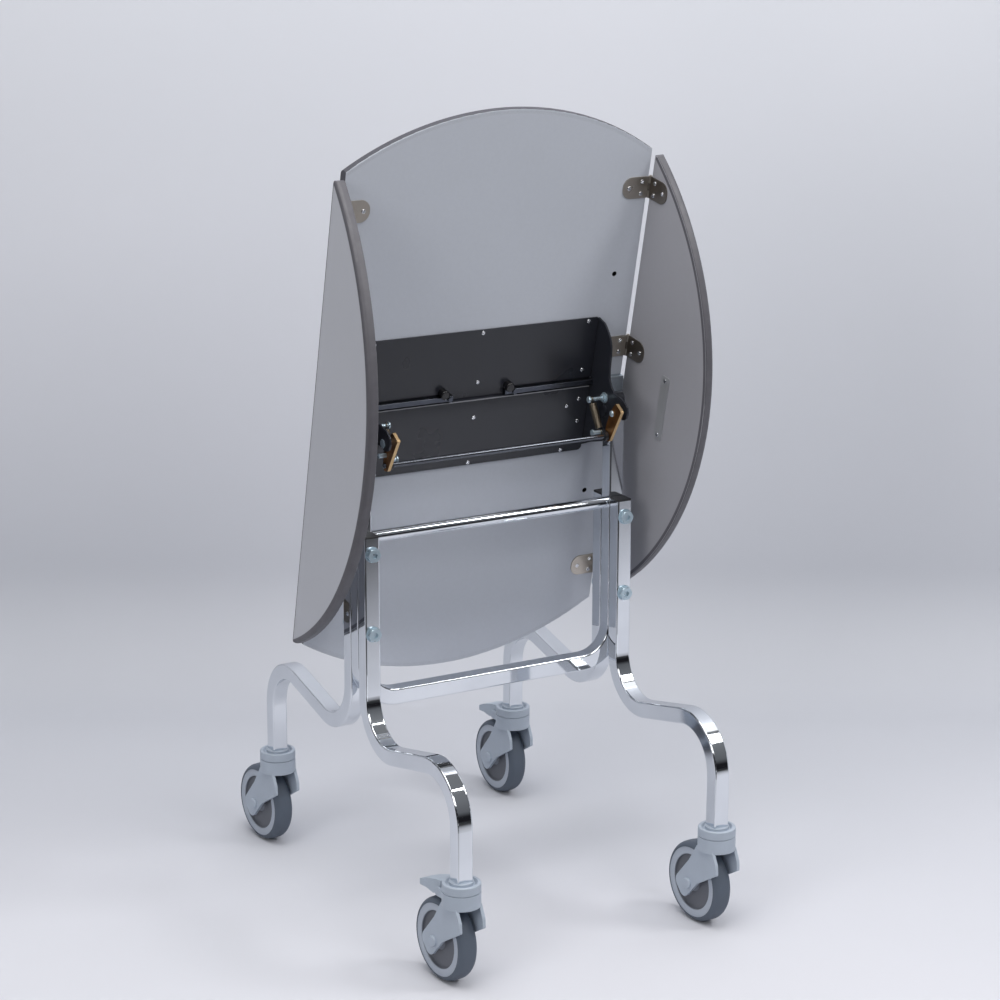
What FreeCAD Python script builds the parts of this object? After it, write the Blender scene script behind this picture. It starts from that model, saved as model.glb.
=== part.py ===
import FreeCAD, Part
import math
import os

V = FreeCAD.Vector
Rotation = FreeCAD.Rotation
Placement = FreeCAD.Placement

# Folding service table on a wheeled tube frame, with its round top tipped up for storage and both flaps folded.
# Millimetres, +Z up, +X to the right, +Y away from the underside that faces the front.
doc = FreeCAD.newDocument("service_table")
sheet = doc.addObject("Spreadsheet::Sheet", "sizes")

SIZES = [
    ("tube_size", 25), ("tube_corner", 2.5), ("tube_wall", 1.5),
    ("leg_half_spacing", 218), ("caster_half_spacing", 310), ("caster_height", 165),
    ("leg_top", 603), ("leg_bend_radius", 72), ("leg_inner_corner", 267.6), ("leg_outer_corner", 333.4),
    ("upright_top", 728), ("bottom_bar_height", 342), ("bottom_bend_radius", 55),
    ("crossbar_height", 594.5), ("crossbar_radius", 9.25), ("crossbar_half_length", 205.5),
    ("bolt_high", 578.5), ("bolt_low", 456), ("bolt_radius", 4), ("bolt_hole_radius", 4.2),
    ("pivot_height", 742), ("pivot_radius", 8), ("pivot_block_top", 768), ("run_clearance", 0.05),
    ("rest_tilt_deg", 12.7), ("panel_origin_y", 43.3), ("panel_origin_z", 772),
    ("top_radius", 460), ("centre_half_width", 255), ("board_thickness", 16), ("edge_round", 7.5), ("edge_small", 1.2),
    ("band_width", 2), ("hinge_line", 259), ("flap_start", 4), ("flap_tip_cut", 373),
    ("fold_left_deg", 87), ("fold_right_deg", 84),
    ("blind_hole_radius", 4), ("blind_hole_depth", 9), ("blind_hole_across", 218), ("blind_hole_along", 184),
    ("leaf_thickness", 1.5), ("leaf_half_width", 17), ("barrel_radius", 3), ("hinge_pin_radius", 1.5),
    ("plate_thickness", 2), ("plate_half_width", 199), ("cheek_inner", 200), ("cheek_thickness", 3),
    ("lever_inner", 187.5), ("lever_thickness", 5), ("rod_radius", 4), ("rod_half_length", 192),
    ("bar_width", 8), ("bar_height", 8), ("bar_lift", 0.9), ("bar_inner_end", 45), ("bar_outer_end", 255),
    ("knob_radius", 7.5), ("knob_bottom", 2.5), ("knob_top", 14),
    ("wear_start", 94), ("wear_width", 18), ("wear_thickness", 1.2),
    ("wheel_radius", 62.5), ("wheel_half_width", 16), ("rim_radius", 54.5), ("trail", 40),
    ("axle_radius", 5), ("collar_radius", 28.5), ("collar_bottom", 150), ("kingpin_radius", 6),
    ("swivel_front_left_deg", 4.7), ("swivel_front_right_deg", 3.6), ("swivel_rear_left_deg", 5.4),
    ("swivel_rear_right_deg", 1.5), ("origin_shift_x", -5.03), ("origin_shift_y", -37),
]
for row, (alias, number) in enumerate(SIZES, 1):
    sheet.set("A%d" % row, alias)
    sheet.set("B%d" % row, str(number))
    sheet.setAlias("B%d" % row, alias)
doc.recompute()


def D(alias):
    return float(sheet.get(alias))


NODES = {}


def keep(obj, label=None):
    if label:
        obj.Label = label
    NODES[obj.Label] = obj
    return obj


# ---------------------------------------------------------------- helpers
def corners(points, radii, closed=True):
    """Straight runs joined by arcs of the given radii, as sketch geometry."""
    pts = [V(p[0], p[1], 0) for p in points]
    if not isinstance(radii, (list, tuple)):
        radii = [radii] * len(pts)
    n = len(pts)
    out = []
    for i in range(n):
        if radii[i] <= 0 or (not closed and i in (0, n - 1)):
            out.append((pts[i], pts[i], None))
            continue
        a = (pts[i - 1] - pts[i]).normalize()
        b = (pts[(i + 1) % n] - pts[i]).normalize()
        angle = a.getAngle(b)
        run = radii[i] / math.tan(angle / 2)
        mid = (a + b).normalize()
        centre = pts[i] + mid * (radii[i] / math.sin(angle / 2))
        out.append((pts[i] + a * run, pts[i] + b * run, centre - mid * radii[i]))
    geo = []
    for i in range(n):
        if out[i][2] is not None:
            geo.append(Part.Arc(out[i][0], out[i][2], out[i][1]))
        if i < n - 1 or closed:
            q, w = out[i][1], out[(i + 1) % n][0]
            if (w - q).Length > 1e-6:
                geo.append(Part.LineSegment(q, w))
    return geo


def circle(x, y, r):
    return Part.Circle(V(x, y, 0), V(0, 0, 1), r)


def body(name):
    b = doc.addObject("PartDesign::Body", name)
    b.Label = name
    return b


def sketch(b, name, role, geo, offset=(0, 0, 0)):
    s = b.newObject("Sketcher::SketchObject", name)
    s.AttachmentSupport = [([f for f in b.Origin.OriginFeatures if f.Role == role][0], "")]
    s.MapMode = "FlatFace"
    s.AttachmentOffset = Placement(V(*offset), Rotation())
    s.addGeometry(geo, False)
    return s


def bind(obj, prop, size):
    if isinstance(size, str):
        obj.setExpression(prop, size)
    else:
        setattr(obj, prop, size)


def pad(b, name, s, length, back=False):
    f = b.newObject("PartDesign::Pad", name)
    f.Profile = s
    bind(f, "Length", length)
    f.Reversed = back
    return f


def pocket(b, name, s, length):
    doc.recompute()
    before = b.Shape.Volume
    f = b.newObject("PartDesign::Pocket", name)
    f.Profile = s
    bind(f, "Length", length)
    doc.recompute()
    if b.Shape.isNull() or b.Shape.Volume > before - 1e-3:
        f.Reversed = True
        doc.recompute()
    if b.Shape.isNull() or b.Shape.Volume > before - 1e-3:
        raise RuntimeError("pocket cuts nothing: " + name)
    return f


def round_edges(b, name, base, radius, pick):
    doc.recompute()
    names = ["Edge%d" % (i + 1) for i, e in enumerate(base.Shape.Edges) if pick(e)]
    if not names:
        raise RuntimeError("no edges for " + name)
    f = b.newObject("PartDesign::Fillet", name)
    f.Base = (base, names)
    bind(f, "Radius", radius)
    doc.recompute()
    return f


def face(geo):
    return Part.Face(Part.Wire(Part.__sortEdges__([g.toShape() for g in geo])))


def prism(geo, z0, z1):
    f = face(geo)
    f.translate(V(0, 0, z0))
    return f.extrude(V(0, 0, z1 - z0))


def on_x(shape):
    """Turns a shape drawn in (y, z, x) into the model's axes."""
    s = shape.copy()
    s.transformShape(FreeCAD.Matrix(0, 0, 1, 0, 1, 0, 0, 0, 0, 1, 0, 0, 0, 0, 0, 1))
    return s


def rod(r, a, b):
    a, b = V(*a), V(*b)
    return Part.makeCylinder(r, (b - a).Length, a, b - a)


def turned(p, direction):
    return Placement(V(*p), Rotation(V(0, 0, 1), V(*direction)))


def hexagon(across, height):
    r = across / math.sqrt(3)
    pts = [(r * math.cos(math.radians(60 * i)), r * math.sin(math.radians(60 * i))) for i in range(6)]
    s = prism(corners(pts, 0), 0, height)
    ball = Part.makeCone(across / 2 + 0.2, across / 2 + 0.2 + height * 1.6, height * 1.6)
    ball.rotate(V(0, 0, 0), V(1, 0, 0), 180)
    ball.translate(V(0, 0, height))
    return s.common(ball)


def place(shape, where):
    s = shape.copy()
    s.Placement = where.multiply(s.Placement)
    return s


def group(name, shapes, where):
    o = doc.addObject("Part::Feature", name)
    o.Shape = Part.makeCompound(shapes) if len(shapes) > 1 else shapes[0]
    o.Placement = where
    return keep(o, name)


def edges_at(shape, test):
    return [e for e in shape.Edges if test(e)]


def pan_screw(head_r, head_h, shank_r, shank_depth):
    """Pan head with a cross recess, sitting on z 0, its shank going down."""
    head = Part.makeCylinder(head_r, head_h)
    head = head.makeFillet(head_h * 0.6, edges_at(head, lambda e: abs(e.BoundBox.ZMin - head_h) < 1e-6))
    arm, wide = head_r * 1.25, head_r * 0.28
    for dx, dy in ((arm, wide), (wide, arm)):
        head = head.cut(Part.makeBox(dx, dy, head_h, V(-dx / 2, -dy / 2, head_h * 0.45)))
    return head.fuse(Part.makeCylinder(shank_r, shank_depth + 0.01, V(0, 0, -shank_depth))).removeSplitter()


def near(a, b, tol=0.02):
    return abs(a - b) < tol


# ---------------------------------------------------------------- frames of reference
sx, sy = D("origin_shift_x"), D("origin_shift_y")
FRAME = Placement(V(sx, sy, 0), Rotation())
TABLE = Placement(V(sx, D("panel_origin_y") + sy, D("panel_origin_z")), Rotation(V(1, 0, 0), 90 + D("rest_tilt_deg")))
hinge_u = D("hinge_line")
LEFT = TABLE.multiply(Placement(V(-hinge_u, 0, 0), Rotation(V(0, 1, 0), D("fold_left_deg"))))
RIGHT = TABLE.multiply(Placement(V(hinge_u, 0, 0), Rotation(V(0, 1, 0), -D("fold_right_deg"))))

W = D("leg_half_spacing")
C = D("caster_half_spacing")
half = D("tube_size") / 2
wall = D("tube_wall")


def tube_outline(x, y):
    out = corners([(x - half, y - half), (x + half, y - half), (x + half, y + half), (x - half, y + half)], D("tube_corner"))
    r = half - wall
    return out + corners([(x - r, y - r), (x + r, y - r), (x + r, y + r), (x - r, y + r)], D("tube_corner") - wall)


def bent_tube(name, role, path, radii, profile_offset):
    b = body(name)
    spine = sketch(b, name + "_path", role, corners(path, radii, closed=False))
    section = sketch(b, name + "_section", "XY_Plane", tube_outline(profile_offset[0], profile_offset[1]), (0, 0, profile_offset[2]))
    doc.recompute()
    f = b.newObject("PartDesign::AdditivePipe", name + "_run")
    f.Profile = section
    f.Spine = (spine, ["Edge%d" % (i + 1) for i in range(len(spine.Shape.Edges))])
    doc.recompute()
    return b


# ---------------------------------------------------------------- wheeled frame
# U-shaped middle frame: two uprights joined by a bottom bar with rounded corners.
top, low, bend = D("upright_top"), D("bottom_bar_height"), D("bottom_bend_radius")
u_frame = bent_tube("u_frame", "XZ_Plane", [(-W, top), (-W, low), (W, low), (W, top)], [0, bend, bend, 0], (-W, 0, top))
holes = sketch(u_frame, "u_frame_bolt_holes", "XZ_Plane",
               [circle(s * W, z, D("bolt_hole_radius")) for s in (-1, 1) for z in (D("bolt_low"), D("bolt_high"))], (0, 0, 20))
pocket(u_frame, "u_frame_bores", holes, 40)
u_frame.Placement = FRAME
keep(u_frame)

# Round bar between the uprights.
crossbar = body("crossbar")
s = sketch(crossbar, "crossbar_section", "YZ_Plane",
           [circle(0, D("crossbar_height"), D("crossbar_radius")), circle(0, D("crossbar_height"), D("crossbar_radius") - 1.5)],
           (0, 0, -D("crossbar_half_length")))
pad(crossbar, "crossbar_run", s, "sizes.crossbar_half_length * 2")
crossbar.Placement = FRAME
keep(crossbar)

# Four legs: down the upright, out along a rising run, down to the caster.
leg_y = 2 * half
for name, side, end in (("leg_front_left", -1, -1), ("leg_front_right", 1, -1), ("leg_rear_left", -1, 1), ("leg_rear_right", 1, 1)):
    # drawn towards -Y; the rear pair is turned half a turn
    b = bent_tube(name, "YZ_Plane",
                  [(-leg_y, D("leg_top")), (-leg_y, D("leg_inner_corner")), (-C, D("leg_outer_corner")), (-C, D("caster_height"))],
                  [0, D("leg_bend_radius"), D("leg_bend_radius"), 0], (0, -leg_y, D("leg_top")))
    holes = sketch(b, name + "_bolt_holes", "XZ_Plane",
                   [circle(0, z, D("bolt_hole_radius")) for z in (D("bolt_low"), D("bolt_high"))], (0, 0, leg_y + 20))
    pocket(b, name + "_bores", holes, 40)
    b.Placement = Placement(V(sx + side * W, sy, 0), Rotation(V(0, 0, 1), 180 if end > 0 else 0))
    keep(b)

# Caps pushed into the open tops of the legs.
caps = []
for i in (-1, 1):
    for j in (-1, 1):
        x, y, z = i * W, j * leg_y, D("leg_top")
        plate = prism(corners([(x - half, y - half), (x + half, y - half), (x + half, y + half), (x - half, y + half)], 3), z, z + 3)
        plate = plate.makeFillet(1.6, edges_at(plate, lambda e: near(e.BoundBox.ZMin, z + 3)))
        r = half - wall - 0.1
        plug = prism(corners([(x - r, y - r), (x + r, y - r), (x + r, y + r), (x - r, y + r)], 1), z - 12, z + 0.5)
        caps.append(plate.fuse(plug).removeSplitter())
group("leg_end_caps", caps, FRAME)

# Bolts through both legs and the upright, with washers and nuts at the back.
bolts, nuts = [], []
front, rb = 3 * half, D("bolt_radius")
for i in (-1, 1):
    for z in (D("bolt_low"), D("bolt_high")):
        head = hexagon(19, 7)
        head = head.cut(prism(corners([(4.6 * math.cos(math.radians(60 * k)), 4.6 * math.sin(math.radians(60 * k))) for k in range(6)], 0), 4, 7))
        washer = Part.makeCylinder(12, 1.6)
        one = place(head, turned((0, -front - 1.6, 0), (0, -1, 0))).fuse(place(washer, turned((0, -front, 0), (0, -1, 0))))
        one = one.fuse(rod(rb, (0, -front - 1, 0), (0, front + 11, 0))).removeSplitter()
        bolts.append(place(one, Placement(V(i * W, 0, z), Rotation())))
        nut = hexagon(13, 6.8).fuse(Part.makeCylinder(5.6, 8.2))
        nut = place(nut, turned((0, front + 1.6, 0), (0, 1, 0))).fuse(place(washer, turned((0, front, 0), (0, 1, 0))))
        nut = nut.cut(rod(rb, (0, front - 1, 0), (0, front + 12, 0)))
        nuts.append(place(nut, Placement(V(i * W, 0, z), Rotation())))
group("frame_bolts", bolts, FRAME)
group("frame_nuts", nuts, FRAME)

# Blocks on top of the uprights that carry the pivot of the table top.
blocks, pins = [], []
zp, rp = D("pivot_height"), D("pivot_radius")
for i in (-1, 1):
    x0, x1 = W - half, W + half
    prof = corners([(-half, top), (half, top), (half, D("pivot_block_top")), (-half, D("pivot_block_top"))], [0, 0, 10, 10])
    blk = on_x(prism(prof, x0, x1)).cut(rod(rp, (x0 - 1, 0, zp), (x1 + 1, 0, zp)))
    pin = rod(rp, (x0 - 5.8, 0, zp), (x1, 0, zp)).fuse(rod(11, (x0 - 8.8, 0, zp), (x0 - 5.8, 0, zp)))
    dome = Part.makeCylinder(10.5, 3.5)
    dome = dome.makeFillet(2.4, edges_at(dome, lambda e: near(e.BoundBox.ZMin, 3.5)))
    pin = pin.fuse(place(dome, turned((x1, 0, zp), (1, 0, 0)))).removeSplitter()
    for made, into in ((blk, blocks), (pin, pins)):
        into.append(made if i > 0 else made.mirror(V(0, 0, 0), V(1, 0, 0)))
group("pivot_blocks", blocks, FRAME)
group("pivot_pins", pins, FRAME)

# Fixed collars under the legs, each with the pin its caster turns on.
collars = []
rc, z0, zt = D("collar_radius"), D("collar_bottom"), D("caster_height")
for i in (-1, 1):
    for j in (-1, 1):
        prof = corners([(0, z0 - 10.5), (D("kingpin_radius"), z0 - 10.5), (D("kingpin_radius"), z0), (rc, z0), (rc, zt - 1.5), (rc - 5, zt - 1.5),
                        (rc - 8, zt - 5), (18, zt - 5), (18, zt), (0, zt)], [0, 1, 0, 1.5, 1.8, 1, 0, 0, 0.8, 0])
        f = face(prof)
        f.rotate(V(0, 0, 0), V(1, 0, 0), 90)
        collars.append(place(f.revolve(V(0, 0, 0), V(0, 0, 1), 360), Placement(V(i * W, j * C, 0), Rotation())))
group("caster_collars", collars, FRAME)

# ---------------------------------------------------------------- casters
axle_z, trail, gap = D("wheel_radius"), D("trail"), D("run_clearance")
for name, i, j, angle, braked in (("front_left", -1, -1, D("swivel_front_left_deg"), True),
                                  ("front_right", 1, -1, D("swivel_front_right_deg"), False),
                                  ("rear_left", -1, 1, D("swivel_rear_left_deg"), False),
                                  ("rear_right", 1, 1, D("swivel_rear_right_deg"), True)):
    turn = Rotation(V(0, 0, 1), angle)
    fork_place = Placement(V(sx + i * W, sy + j * C, 0), turn)
    hub = fork_place.multiply(Placement(V(0, trail, axle_z), Rotation()))

    # Fork: round housing with two arms that trail behind the swivel axis.
    fork = body("fork_" + name)
    s = sketch(fork, fork.Name + "_housing", "XY_Plane", [circle(0, 0, rc)], (0, 0, 128))
    pad(fork, fork.Name + "_head", s, z0 - 0.3 - 128)
    arm = corners([(-19, 131), (-28, 112), (-29, 97), (16, 69.5), (50, 33), (74, 59.5), (38, 101), (19, 131)],
                  [0, 12, 4, 10, 11, 13, 14, 0])
    for k, x in ((1, 17.5), (2, -22.5)):
        s = sketch(fork, fork.Name + "_arm_%d" % k, "YZ_Plane", arm, (0, 0, x))
        pad(fork, fork.Name + "_side_%d" % k, s, 5)
    if braked:
        for k, x in ((1, 15.6), (2, -19.6)):
            s = sketch(fork, fork.Name + "_lug_%d" % k, "YZ_Plane", corners([(15, 134), (40, 134), (40, 147), (15, 147)], [0, 5, 5, 0]), (0, 0, x))
            pad(fork, fork.Name + "_ear_%d" % k, s, 4)
        s = sketch(fork, fork.Name + "_pedal_pin", "YZ_Plane", [circle(34.5, 141, 2)], (0, 0, -17))
        pad(fork, fork.Name + "_pedal_pivot", s, 34)
    s = sketch(fork, fork.Name + "_bore", "XY_Plane", [circle(0, 0, D("kingpin_radius") + gap)], (0, 0, 155))
    pocket(fork, fork.Name + "_socket", s, 16)
    s = sketch(fork, fork.Name + "_axle_hole", "YZ_Plane", [circle(trail, axle_z, D("axle_radius") + gap)], (0, 0, 30))
    pocket(fork, fork.Name + "_axle_bore", s, 60)
    fork.Placement = fork_place
    keep(fork)

    # Axle with a domed head at each end.
    ra = D("axle_radius")
    pin = rod(ra, (-22.5, 0, 0), (22.5, 0, 0))
    for d in (-1, 1):
        cap = Part.makeCylinder(8.5, 4)
        cap = cap.makeFillet(2.6, edges_at(cap, lambda e: near(e.BoundBox.ZMin, 4)))
        pin = pin.fuse(place(cap, turned((d * 22.5, 0, 0), (d, 0, 0))))
    group("axle_" + name, [pin.removeSplitter()], hub)

    # Wheel: rim ring, recessed disc and hub, turned about the axle.
    core = body("wheel_core_" + name)
    rr = D("rim_radius")
    prof = corners([(-17, ra + gap), (17, ra + gap), (17, 13), (10.5, 15.5), (10.5, 42), (15.2, 43.5), (15.2, rr), (-15.2, rr), (-15.2, 43.5), (-10.5, 42),
                    (-10.5, 15.5), (-17, 13)], [0, 0, 1.5, 2, 2, 1, 0, 0, 1, 2, 2, 1.5])
    s = sketch(core, core.Name + "_section", "XY_Plane", prof)
    f = core.newObject("PartDesign::Revolution", core.Name + "_turned")
    f.Profile = s
    f.ReferenceAxis = (s, ["H_Axis"])
    f.Angle = 360
    core.Placement = hub
    keep(core)

    # Tyre: crowned tread.
    tyre = body("tyre_" + name)
    hw, rw = D("wheel_half_width"), D("wheel_radius")
    geo = [Part.LineSegment(V(-hw, rr, 0), V(hw, rr, 0)), Part.LineSegment(V(hw, rr, 0), V(hw - 0.3, rr + 1.6, 0)),
           Part.Arc(V(hw - 0.3, rr + 1.6, 0), V(13.4, 59.2, 0), V(7.6, 62.1, 0)), Part.Arc(V(7.6, 62.1, 0), V(0, rw, 0), V(-7.6, 62.1, 0)),
           Part.Arc(V(-7.6, 62.1, 0), V(-13.4, 59.2, 0), V(-hw + 0.3, rr + 1.6, 0)), Part.LineSegment(V(-hw + 0.3, rr + 1.6, 0), V(-hw, rr, 0))]
    s = sketch(tyre, tyre.Name + "_section", "XY_Plane", geo)
    f = tyre.newObject("PartDesign::Revolution", tyre.Name + "_turned")
    f.Profile = s
    f.ReferenceAxis = (s, ["H_Axis"])
    f.Angle = 360
    tyre.Placement = hub
    keep(tyre)

    # Brake pedal: a narrowing beak behind the collar.
    if braked:
        side = corners([(32, 157), (45, 155), (75, 146), (97, 136.5), (100.5, 132), (97, 128), (75, 131), (52, 131), (40, 136.4), (32, 136.4)],
                       [1.5, 12, 30, 4, 3, 3, 10, 8, 1, 1])
        plan = corners([(-14.8, 31), (14.8, 31), (14.8, 50), (8.5, 101), (-8.5, 101), (-14.8, 50)], [1, 1, 20, 7, 7, 20])
        bore = rod(2 + gap, (-30, 34.5, 141), (30, 34.5, 141))
        pedal = on_x(prism(side, -16, 16)).common(prism(plan, 120, 165)).cut(bore)
        group("pedal_" + name, [pedal], fork_place)

# ---------------------------------------------------------------- table top
R, cw, T = D("top_radius"), D("centre_half_width"), D("board_thickness")
edge_v = math.sqrt(R * R - cw * cw)


def centre_outline(inset):
    r, c = R - inset, cw - inset
    v = math.sqrt(r * r - c * c)
    return [Part.LineSegment(V(c, -v, 0), V(c, v, 0)), Part.Arc(V(c, v, 0), V(0, r, 0), V(-c, v, 0)),
            Part.LineSegment(V(-c, v, 0), V(-c, -v, 0)), Part.Arc(V(-c, -v, 0), V(0, -r, 0), V(c, -v, 0))]


def flap_outline(side, inset):
    """Straight edge beside the hinge line, ends cut square, the rest on the round of the top. side -1 draws it towards -x."""
    s0, cut, r = D("flap_start") + inset, D("flap_tip_cut") - inset, R - inset
    s1 = math.sqrt(r * r - cut * cut) - hinge_u
    pts = [V(s0, -cut, 0), V(s0, cut, 0), V(s1, cut, 0), V(r - hinge_u, 0, 0), V(s1, -cut, 0)]
    pts = [V(side * p.x, p.y, 0) for p in pts]
    return [Part.LineSegment(pts[0], pts[1]), Part.LineSegment(pts[1], pts[2]), Part.Arc(pts[2], pts[3], pts[4]),
            Part.LineSegment(pts[4], pts[0])]


def board(name, outline, where, hole_sketch=None):
    """A board with a full rounding on its upper edge, split into its core and the band round its edge."""
    b = body(name + "_blank")
    s = sketch(b, name + "_blank_outline", "XY_Plane", outline(0))
    p = pad(b, name + "_blank_board", s, "sizes.board_thickness", back=True)
    doc.recompute()
    if b.Shape.BoundBox.ZMax > 1:
        p.Reversed = False
        doc.recompute()
    tip = round_edges(b, name + "_blank_upper", p, "sizes.edge_round",
                      lambda e: near(e.BoundBox.ZMin, -T) and near(e.BoundBox.ZMax, -T) and e.Curve.TypeId == "Part::GeomCircle")
    tip = round_edges(b, name + "_blank_lower", tip, "sizes.edge_small",
                      lambda e: near(e.BoundBox.ZMin, 0) and near(e.BoundBox.ZMax, 0) and e.Curve.TypeId == "Part::GeomCircle")
    if hole_sketch:
        s = sketch(b, name + "_holes", "XY_Plane", hole_sketch, (0, 0, 5))
        pocket(b, name + "_blind_holes", s, "sizes.blind_hole_depth + 5")
    inner = doc.addObject("Part::Feature", name + "_inner")
    inner.Shape = prism(outline(D("band_width")), -T - 5, 5)
    core = doc.addObject("Part::Common", name)
    core.Base, core.Tool = b, inner
    band = doc.addObject("Part::Cut", name.replace("centre_panel", "centre_edge") + "_band")
    band.Base, band.Tool = b, inner
    for o in (core, band):
        o.Placement = where
        keep(o, o.Name)


blind = [circle(i * D("blind_hole_across"), j * D("blind_hole_along"), D("blind_hole_radius")) for i in (-1, 1) for j in (-1, 1)]
board("centre_panel", centre_outline, TABLE, blind)
board("flap_left", lambda k: flap_outline(-1, k), LEFT)
board("flap_right", lambda k: flap_outline(1, k), RIGHT)

# Flat sheets that house the fittings, either side of the channel of the sliding supports.
pw, pt = D("plate_half_width"), D("plate_thickness")
UPPER_SCREWS = [(-2, 110.5), (-184, 110.5), (182, 110.5), (-2, 30), (-184, 29.5), (181.5, 29.5)]
LOWER_SCREWS = [(-2, -29), (-164, -29.5), (162, -29.5), (-187, -57.5), (185, -57.5), (-3, -104.6), (-163, -104.6), (161, -104.6), (-184, -19.5), (182.5, -19.5)]
upper = body("housing_plate_upper")
s = sketch(upper, "upper_outline", "XY_Plane", corners([(-pw, 16), (pw, 16), (pw, 115.5), (-pw, 115.5)], 2) + [circle(x, y, 2) for x, y in UPPER_SCREWS])
pad(upper, "upper_sheet", s, "sizes.plate_thickness")
# thin floor of the channel
s = sketch(upper, "channel_outline", "XY_Plane", corners([(-pw, 3.2), (pw, 3.2), (pw, 22), (-pw, 22)], 0))
pad(upper, "channel_floor", s, 0.5)
upper.Placement = TABLE
keep(upper)
lower = body("housing_plate_lower")
s = sketch(lower, "lower_outline", "XY_Plane", corners([(-pw, -109), (pw, -109), (pw, 3), (-pw, 3)], [7, 7, 2, 2]) + [circle(x, y, 2) for x, y in LOWER_SCREWS])
pad(lower, "lower_sheet", s, "sizes.plate_thickness")
s = sketch(lower, "lower_lip", "XY_Plane", corners([(-pw + 3, 1.2), (pw - 3, 1.2), (pw - 3, 3), (-pw + 3, 3)], 0))
pad(lower, "lower_upstand", s, 6.5)
lower.Placement = TABLE
keep(lower)

# Cheeks: upright side plates that carry the pivot, the latch lever and the spring.
CHEEK = [(114, 0), (112, 18), (104, 30), (96, 39), (85, 45), (68, 48), (49, 49), (33, 52), (24, 60), (18, 70), (17, 98), (12, 110), (2, 113.5), (-7, 112),
         (-12.5, 105), (-13.5, 76), (-30, 72), (-60, 66), (-70, 56), (-86, 24), (-101, 0)]
CHEEK_ROUND = [0, 10, 12, 12, 14, 25, 25, 12, 10, 8, 5, 5, 4, 4, 5, 5, 15, 8, 8, 0, 0]
tilt = math.radians(D("rest_tilt_deg"))
drop = D("panel_origin_z") - D("pivot_height")
pivot_v = D("panel_origin_y") * math.sin(tilt) - drop * math.cos(tilt)
pivot_h = D("panel_origin_y") * math.cos(tilt) + drop * math.sin(tilt)
lever_v, lever_h = -5, 92.6
for name, x in (("cheek_left", -D("cheek_inner") - D("cheek_thickness")), ("cheek_right", D("cheek_inner"))):
    b = body(name)
    s = sketch(b, name + "_outline", "YZ_Plane", corners(CHEEK, CHEEK_ROUND), (0, 0, x))
    pad(b, name + "_plate", s, "sizes.cheek_thickness")
    s = sketch(b, name + "_holes", "YZ_Plane",
               [circle(pivot_v, pivot_h, rp + gap), circle(lever_v, lever_h, 3.05), circle(0, 47.5, 3.05)]
               + corners([(5.8, -1), (14.2, -1), (14.2, 9.4), (5.8, 9.4)], [0, 0, 1.5, 1.5]), (0, 0, x + 5))
    pocket(b, name + "_bores", s, 12)
    b.Placement = TABLE
    keep(b)

screw = pan_screw(3.2, 2.0, 1.9, pt)
group("housing_screws", [place(screw, Placement(V(x, y, pt), Rotation(V(0, 0, 1), 17 * k)))
                         for k, (x, y) in enumerate(UPPER_SCREWS + LOWER_SCREWS)], TABLE)

# Spring bolts and lever pivot bolts.
both = []
for i in (-1, 1):
    dome = Part.makeCylinder(5.2, 3.4)
    dome = dome.makeFillet(2.2, edges_at(dome, lambda e: near(e.BoundBox.ZMin, 3.4)))
    a = place(dome, turned((173, 0, 47.5), (-1, 0, 0))).fuse(rod(3, (172, 0, 47.5), (204.6, 0, 47.5)))
    a = a.fuse(rod(8.5, (198.4, 0, 47.5), (200, 0, 47.5))).fuse(place(hexagon(10, 4.4), turned((198.4, 0, 47.5), (-1, 0, 0))))
    a = a.fuse(place(hexagon(11, 1.6), turned((203, 0, 47.5), (1, 0, 0)))).removeSplitter()
    b = rod(3, (184, lever_v, lever_h), (204.8, lever_v, lever_h)).fuse(rod(5.5, (192.8, lever_v, lever_h), (200, lever_v, lever_h)))
    cap = Part.makeCylinder(5, 2.6)
    cap = cap.makeFillet(2, edges_at(cap, lambda e: near(e.BoundBox.ZMin, 2.6)))
    b = b.fuse(place(cap, turned((187.2, lever_v, lever_h), (-1, 0, 0))))
    b = b.fuse(place(hexagon(12, 1.7), turned((203, lever_v, lever_h), (1, 0, 0)))).removeSplitter()
    for m in (a, b):
        both.append(m if i > 0 else m.mirror(V(0, 0, 0), V(1, 0, 0)))
group("mechanism_bolts", both, TABLE)

# Extension springs: tube envelope of the coil with a hook ring at each end.
springs = []
a, b = V(176.5, 0, 47.5), V(181.8, -43, 75)
way = (b - a).normalize()
span = (b - a).Length
for i in (-1, 1):
    ring = Part.makeTorus(4.2, 0.8, V(0, 0, 0), V(1, 0, 0))
    coil = Part.makeCylinder(6, span - 12, a + way * 6, way).cut(Part.makeCylinder(4.6, span - 14, a + way * 7, way))
    coil = coil.cut(Part.makeCylinder(3, span - 11, a + way * 5.5, way))
    one = coil
    for end, d in ((a, way), (b, way * -1)):
        side = V(0, -d.z, d.y).normalize() * 4.2
        one = one.fuse(place(ring, Placement(end, Rotation()))).fuse(Part.makeCylinder(0.8, 6.6, end + side, d))
    springs.append(one if i > 0 else one.mirror(V(0, 0, 0), V(1, 0, 0)))
group("latch_springs", springs, TABLE)

# Flap hinges: three on each side.
HINGES = (322, 62, -319)
lt, lw, br, hp = D("leaf_thickness"), D("leaf_half_width"), D("barrel_radius"), D("hinge_pin_radius")


def leaf(x_in, x_far, side):
    """D-shaped leaf from near its hinge line to a rounded far end, with three screw holes. side gives its sense along x."""
    pts = [(side * x_in, -lw), (side * x_in, lw), (side * x_far, lw), (side * x_far, -lw)]
    s = prism(corners(pts, [1, 1, 15, 15]), 0, lt)
    for x, y in leaf_screws(x_in, x_far, side):
        s = s.cut(Part.makeCylinder(2, 4, V(x, y, -1)))
    return s


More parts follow.
